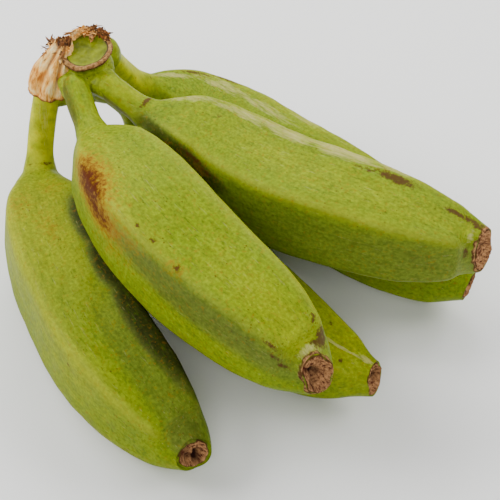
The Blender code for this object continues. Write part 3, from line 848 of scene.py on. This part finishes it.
def skin_layers(add, growth, masks):
    """Living banana skin: its colour, and its middling and fine noise, from coordinates
    that run with its growth and from its masks."""
    stretched = add("Mapping", {"Vector": growth, "Scale": (0.22, 1.0, 1.0)})
    broad = add("TexNoise", {"Vector": stretched, "Scale": mm(15), "Detail": 2.0})
    middle = add("TexNoise", {"Vector": growth, "Scale": mm(4.5), "Detail": 4.0, "Roughness": 0.6})
    fine = add("TexNoise", {"Vector": growth, "Scale": mm(1.1), "Detail": 2.0})
    # Fresh green at the flanks, yellower where the fruit fills out and on the neck, and greener under the
    # painted shade.
    lean = add("Math", {0: masks["yellow"], 1: 0.45, 2: 0.36}, operation="MULTIPLY_ADD")
    lean = add("Math", {0: masks["deep"], 1: -0.15, 2: lean}, operation="MULTIPLY_ADD")
    lean = add("Math", {0: broad, 1: 0.45, 2: lean}, operation="MULTIPLY_ADD")
    lean = add("Math", {0: middle, 1: 0.5, 2: lean}, operation="MULTIPLY_ADD")
    lean = add("Math", {0: lean, 1: 0.545}, operation="SUBTRACT", use_clamp=True)
    tone = add("Mix", {AMOUNT: lean, UNDER: colour("#627F0A"), OVER: colour("#9AA208")}, **MIX)
    # Painted shade: a duller, greyer green where the deep mask is set, and above 0.8 a
    # darkening, down to about a fifth, that stands for the shadow in crevices and under neighbouring fingers.
    shade = add("Math", {0: masks["deep"], 1: 0.72}, operation="MULTIPLY", use_clamp=True)
    tone = add("Mix", {AMOUNT: shade, UNDER: tone, OVER: colour("#69742B")}, **MIX)
    painted_shadow = add("MapRange", {0: masks["deep"], 1: 0.8, 2: 2.0, 3: 1.0, 4: 0.22})
    tone = add("Mix", {AMOUNT: 1.0, UNDER: tone, OVER: painted_shadow}, **DARKEN)
    # Stipple of pale and dark cells, and soft streaks along the growth.
    stipple = add("MapRange", {0: fine, 1: 0.32, 2: 0.70, 3: 0.70, 4: 1.12})
    tone = add("Mix", {AMOUNT: 1.0, UNDER: tone, OVER: stipple}, **DARKEN)
    drawn = add("Mapping", {"Vector": growth, "Scale": (0.14, 1.0, 1.0)})
    streak = add("TexNoise", {"Vector": drawn, "Scale": mm(2.0), "Detail": 4.0, "Roughness": 0.6})
    streak = add("MapRange", {0: streak, 1: 0.32, 2: 0.66, 3: 0.86, 4: 1.08})
    tone = add("Mix", {AMOUNT: 1.0, UNDER: tone, OVER: streak}, **DARKEN)
    # Short dark dashes that run with the growth.
    dash_room = add("Mapping", {"Vector": growth, "Scale": (0.32, 1.0, 1.0)})
    dash = add("TexNoise", {"Vector": dash_room, "Scale": mm(1.05), "Detail": 3.0, "Roughness": 0.7})
    dash = add("MapRange", {0: dash, 1: 0.54, 2: 0.70, 3: 0.0, 4: 0.55})
    tone = add("Mix", {AMOUNT: dash, UNDER: tone, OVER: colour("#3F5A0C")}, **MIX)
    # Sparse brown lenticels.
    spots = add("TexVoronoi", {"Vector": growth, "Scale": mm(1.9), "Randomness": 1.0}, "Distance")
    thin = add("TexNoise", {"Vector": growth, "Scale": mm(9), "Detail": 1.0})
    size = add("MapRange", {0: thin, 1: 0.36, 2: 0.72, 3: 0.03, 4: 0.21})
    spots = add("Math", {0: size, 1: spots}, operation="SUBTRACT")
    spots = add("MapRange", {0: spots, 1: 0.0, 2: 0.06, 3: 0.0, 4: 0.65})
    tone = add("Mix", {AMOUNT: spots, UNDER: tone, OVER: colour("#4A3410")}, **MIX)
    return tone, middle, fine


def skin_material():
    """Green banana skin: a satin, waxy cuticle over mottled yellow-green tissue, with
    chafed ridges, rusty sap stains, a corky flower scar at the tip, and painted shade and
    painted highlights laid into its colour."""
    made, add = new_material("green_banana_skin")
    growth = add("Attribute", out="Vector", attribute_name="growth")
    masks = {kind: add("Attribute", out="Fac", attribute_name=kind)
             for kind in ("ridge", "neck", "cork", "pit", "scab", *MARK_KINDS)}
    tone, middle, fine = skin_layers(add, growth, masks)
    # Pale, yellow necks.
    pale = add("MapRange", {0: middle, 1: 0.30, 2: 0.62, 3: 0.25, 4: 0.85})
    pale = add("Math", {0: pale, 1: masks["neck"]}, operation="MULTIPLY")
    tone = add("Mix", {AMOUNT: pale, UNDER: tone, OVER: colour("#C6C808")}, **MIX)
    # Painted highlight: the ridges a little paler where they catch the light, but not under the painted
    # shade.
    ridge_highlight = add("MapRange", {0: masks["deep"], 1: 0.1, 2: 0.9, 3: 0.24, 4: 0.0})
    ridge_highlight = add("Math", {0: ridge_highlight, 1: masks["ridge"]}, operation="MULTIPLY")
    tone = add("Mix", {AMOUNT: ridge_highlight, UNDER: tone, OVER: colour("#BDBC3C")}, **MIX)
    # Chafed wax: pale strokes that run with the growth.  The same mask also lays a painted highlight down the
    # left finger's neck.
    grit = add("TexNoise", {"Vector": growth, "Scale": mm(1.5), "Detail": 4.0, "Roughness": 0.75})
    grit = add("Math", {0: grit, 1: 0.5}, operation="SUBTRACT")
    drawn = add("Mapping", {"Vector": growth, "Scale": (0.12, 1.0, 1.0)})
    chafe = add("TexNoise", {"Vector": drawn, "Scale": mm(0.9), "Detail": 4.0, "Roughness": 0.7})
    chafe = add("Math", {0: chafe, 1: 0.5}, operation="SUBTRACT")
    graze_and_highlight = add("Math", {0: chafe, 1: 2.4, 2: masks["graze_and_highlight"]}, operation="MULTIPLY_ADD")
    graze_and_highlight = add("MapRange", {0: graze_and_highlight, 1: 0.25, 2: 1.15, 3: 0.0, 4: 0.66})
    tone = add("Mix", {AMOUNT: graze_and_highlight, UNDER: tone, OVER: colour("#C4B878")}, **MIX)
    # Rusty sap stain, orange at its edge and dark in its middle.
    rust = add("Math", {0: grit, 1: 2.3, 2: masks["rust"]}, operation="MULTIPLY_ADD")
    haze = add("MapRange", {0: rust, 1: 0.12, 2: 0.80, 3: 0.0, 4: 0.85})
    core = add("MapRange", {0: rust, 1: 0.60, 2: 1.20, 3: 0.0, 4: 0.95})
    tone = add("Mix", {AMOUNT: haze, UNDER: tone, OVER: colour("#9C6C0C")}, **MIX)
    tone = add("Mix", {AMOUNT: core, UNDER: tone, OVER: colour("#4C1806")}, **MIX)
    # Dark brown bruises.
    bruise = add("Math", {0: grit, 1: 2.4, 2: masks["bruise"]}, operation="MULTIPLY_ADD")
    bruise = add("MapRange", {0: bruise, 1: 0.35, 2: 0.80, 3: 0.0, 4: 0.88})
    tone = add("Mix", {AMOUNT: bruise, UNDER: tone, OVER: colour("#4A2814")}, **MIX)
    # The corky scar: tan and pink-brown grain, dark pits and a dark scabby edge.
    grain = add("TexNoise", {"Vector": growth, "Scale": mm(1.0), "Detail": 5.0, "Roughness": 0.75})
    cork = add("MapRange", {0: grain, 1: 0.38, 2: 0.60})
    cork = add("Mix", {AMOUNT: cork, UNDER: colour("#44201A"), OVER: colour("#BA8858")}, **MIX)
    cork = add("Mix", {AMOUNT: masks["pit"], UNDER: cork, OVER: colour("#24120C")}, **MIX)
    tone = add("Mix", {AMOUNT: masks["cork"], UNDER: tone, OVER: cork}, **MIX)
    scab = add("Math", {0: grit, 1: 1.2, 2: masks["scab"]}, operation="MULTIPLY_ADD")
    scab = add("MapRange", {0: scab, 1: 0.35, 2: 0.85, 3: 0.0, 4: 0.85})
    tone = add("Mix", {AMOUNT: scab, UNDER: tone, OVER: colour("#431A12")}, **MIX)
    # Satin skin, duller where it is chafed or stained, and a dry, grainy scar.
    rough = add("MapRange", {0: middle, 1: 0.3, 2: 0.7, 3: 0.42, 4: 0.56})
    rough = add("Math", {0: graze_and_highlight, 1: 0.2, 2: rough}, operation="MULTIPLY_ADD")
    rough = add("Math", {0: haze, 1: 0.15, 2: rough}, operation="MULTIPLY_ADD")
    rough = add("Math", {0: masks["cork"], 1: 0.45, 2: rough}, operation="MULTIPLY_ADD", use_clamp=True)
    height = add("Math", {0: fine, 1: 0.05}, operation="MULTIPLY")
    height = add("Math", {0: middle, 1: 0.10, 2: height}, operation="MULTIPLY_ADD")
    deep = add("Math", {0: grain, 1: masks["cork"]}, operation="MULTIPLY")
    height = add("Math", {0: deep, 1: 0.6, 2: height}, operation="MULTIPLY_ADD")
    normal = add("Bump", {"Strength": 1.0, "Distance": 0.0006, "Height": height})
    shader = add("BsdfPrincipled", {
        "Base Color": tone, "Roughness": rough, "Normal": normal, "IOR": 1.45,
        "Specular IOR Level": 0.07})
    add("OutputMaterial", {"Surface": shader})
    return made


def crown_material():
    """Cut banana crown: moist olive flesh inside a dark line and a dried tan rim, with
    living skin down its sides."""
    made, add = new_material("cut_banana_crown")
    growth = add("Attribute", out="Vector", attribute_name="growth")
    cut, rim, dark = (add("Attribute", out="Fac", attribute_name=kind)
                      for kind in ("cut", "rim", "dark"))
    # The stump's skin is rather yellow, and has none of the painted shade.
    tone, _, fine = skin_layers(add, growth, {"yellow": 0.75, "deep": 0.0})
    broad = add("TexNoise", {"Vector": growth, "Scale": mm(6), "Detail": 3.0, "Roughness": 0.6})
    blend = add("MapRange", {0: broad, 1: 0.35, 2: 0.65})
    flesh = add("Mix", {AMOUNT: blend, UNDER: colour("#545C00"), OVER: colour("#86900A")}, **MIX)
    tone = add("Mix", {AMOUNT: cut, UNDER: tone, OVER: flesh}, **MIX)
    grain = add("TexNoise", {"Vector": growth, "Scale": mm(1.3), "Detail": 4.0, "Roughness": 0.7})
    dry = add("MapRange", {0: grain, 1: 0.36, 2: 0.62})
    dry = add("Mix", {AMOUNT: dry, UNDER: colour("#6C401C"), OVER: colour("#BC9058")}, **MIX)
    tone = add("Mix", {AMOUNT: rim, UNDER: tone, OVER: dry}, **MIX)
    line = add("Math", {0: dark, 1: 0.95}, operation="MULTIPLY")
    tone = add("Mix", {AMOUNT: line, UNDER: tone, OVER: colour("#3E1E14")}, **MIX)
    height = add("Math", {0: grain, 1: rim}, operation="MULTIPLY")
    height = add("Math", {0: fine, 1: 0.15, 2: height}, operation="MULTIPLY_ADD")
    normal = add("Bump", {"Strength": 1.0, "Distance": 0.0005, "Height": height})
    rough = add("MapRange", {0: rim, 1: 0.0, 2: 1.0, 3: 0.45, 4: 0.8})
    shader = add("BsdfPrincipled", {
        "Base Color": tone, "Roughness": rough, "Normal": normal, "IOR": 1.45,
        "Specular IOR Level": 0.15})
    add("OutputMaterial", {"Surface": shader})
    return made


def husk_material():
    """Dry banana bract: papery cream to tan sheet with streaks along its fibres, and
    torn edges and creases gone dark brown."""
    made, add = new_material("dry_bract_fibre")
    growth = add("Attribute", out="Vector", attribute_name="growth")
    dark = add("Attribute", out="Fac", attribute_name="dark")
    drawn = add("Mapping", {"Vector": growth, "Scale": (0.16, 1.0, 1.0)})
    streak = add("TexNoise", {"Vector": drawn, "Scale": mm(1.0), "Detail": 5.0, "Roughness": 0.70})
    hair = add("TexNoise", {"Vector": drawn, "Scale": mm(0.5), "Detail": 2.0})
    cloud = add("TexNoise", {"Vector": growth, "Scale": mm(7), "Detail": 3.0})
    lean = add("Math", {0: cloud, 1: 0.7, 2: -0.37}, operation="MULTIPLY_ADD")
    lean = add("Math", {0: streak, 1: 1.0, 2: lean}, operation="MULTIPLY_ADD")
    tint = add("ValToRGB", {"Fac": lean})
    elements = tint.node.color_ramp.elements
    stops = ((0.30, "#B86A22"), (0.42, "#F0A848"), (0.54, "#FFD07C"), (0.72, "#FFECB4"))
    for n, (place, hue) in enumerate(stops):
        stop = elements[n] if n < 2 else elements.new(place)
        stop.position, stop.color = place, colour(hue)
    grit = add("Math", {0: streak, 1: 0.5}, operation="SUBTRACT")
    grit = add("Math", {0: grit, 1: 1.6, 2: dark}, operation="MULTIPLY_ADD")
    brown = add("MapRange", {0: grit, 1: 0.32, 2: 0.75, 3: 0.0, 4: 0.85})
    black = add("MapRange", {0: grit, 1: 0.75, 2: 1.10, 3: 0.0, 4: 0.80})
    tone = add("Mix", {AMOUNT: brown, UNDER: tint, OVER: colour("#7C3F1E")}, **MIX)
    tone = add("Mix", {AMOUNT: black, UNDER: tone, OVER: colour("#2E160E")}, **MIX)
    height = add("Math", {0: hair, 1: 0.35, 2: streak}, operation="MULTIPLY_ADD")
    normal = add("Bump", {"Strength": 0.9, "Distance": 0.0006, "Height": height})
    rough = add("MapRange", {0: streak, 1: 0.3, 2: 0.7, 3: 0.85, 4: 0.60})
    shader = add("BsdfPrincipled", {
        "Base Color": tone, "Roughness": rough, "Normal": normal, "IOR": 1.5,
        "Specular IOR Level": 0.2})
    add("OutputMaterial", {"Surface": shader})
    return made


# ---- the scene -------------------------------------------------------------
# The middle of the cut face.
crown_low, crown_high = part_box("crown")
CROWN = np.array([(crown_low.x + crown_high.x) / 2, (crown_low.y + crown_high.y) / 2, crown_high.z])

# Each skin is seated by bringing the plain finger's highest corner to its node's.
skin = skin_material()
for seed, name in enumerate(FINGERS, start=1):
    place = np.array(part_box(name)[1]) - plain_finger(FINGERS[name]).max(axis=(0, 1))
    rows, fields = finger_surface(name, place, seed)
    made = add_surface(name + "_skin", rows, fields, skin)
    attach(made, "root")
    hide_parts(name)

rows, fields = crown_surface(CROWN)
crown = add_surface("crown_stump", rows, fields, crown_material())
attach(crown, "root")
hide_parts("crown")

# Each of the husk's two walls closes on a point a little below its torn mouth.
fibre = husk_material()
rows, fields = husk_surface(CROWN)
husk = add_surface("husk_sleeve", rows, fields, fibre, rows[0].mean(axis=0) - (0, 0, 0.002),
                   rows[-1].mean(axis=0) - (0, 0, 0.0024))
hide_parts("dry_husk")
rows, fields = torn_wall(CROWN)
wall = add_surface("torn_sheath", rows, fields, fibre)
rows, fields = fibre_bunches(CROWN)
fibres = add_bundle("loose_fibres", rows, fields, fibre)
for made in (husk, wall, fibres):
    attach(made, "root")

# Floor, light and camera.
FAR = 3.0                 # from the middle of the floor to its sides
floor_mesh = bpy.data.meshes.new("floor")
floor_mesh.from_pydata([(-FAR, -FAR, 0), (FAR, -FAR, 0), (FAR, FAR, 0), (-FAR, FAR, 0)], [], [(0, 1, 2, 3)])
floor = add_object("floor", floor_mesh)
paper, add = new_material("pale_floor")
shader = add("BsdfPrincipled", {"Base Color": colour("#F4F4F2"), "Roughness": 0.9})
add("OutputMaterial", {"Surface": shader})
floor_mesh.materials.append(paper)

world = bpy.data.worlds.new("studio")
world.use_nodes = True
background = world.node_tree.nodes["Background"]
background.inputs["Color"].default_value = (1.0, 1.0, 1.0, 1.0)
background.inputs["Strength"].default_value = 0.16
bpy.context.scene.world = world
# Soft boxes in a ring round the object: bearing from the front, and power in watts.
SOFT_BOXES = ((0, 4.84), (90, 4.84), (135, 4.18), (180, 5.28), (225, 5.28), (270, 7.48))
BOX_SIZE = 0.5
BOX_DISTANCE = 1.05
BOX_LIFT = 42.0           # above the floor, seen from the object
for bearing, power in SOFT_BOXES:
    light = bpy.data.lights.new("soft_box", "AREA")
    light.size = BOX_SIZE
    light.energy = power
    turn, lift = math.radians(bearing), math.radians(BOX_LIFT)
    way = Vector((math.sin(turn) * math.cos(lift), -math.cos(turn) * math.cos(lift), math.sin(lift)))
    lamp = add_object("soft_box", light)
    lamp.location = BOX_DISTANCE * way
    lamp.rotation_euler = (-lamp.location).to_track_quat("-Z", "Y").to_euler()

# The camera looks at the middle of the hand, measured from its crown.
LOOK_AT = Vector((CROWN[0] + 0.0565, CROWN[1] - 0.0520, 0.030))
VIEW_DISTANCE = 0.62
VIEW_TILT = math.radians(45.0)
camera = add_object("camera", bpy.data.cameras.new("camera"))
camera.data.lens = 130.0
camera.data.sensor_width = 36.0
camera.data.clip_end = 20.0
camera.location = LOOK_AT + VIEW_DISTANCE * Vector((0.0, -math.cos(VIEW_TILT), math.sin(VIEW_TILT)))
camera.rotation_euler = (math.pi / 2 - VIEW_TILT, 0.0, 0.0)
bpy.context.scene.camera = camera
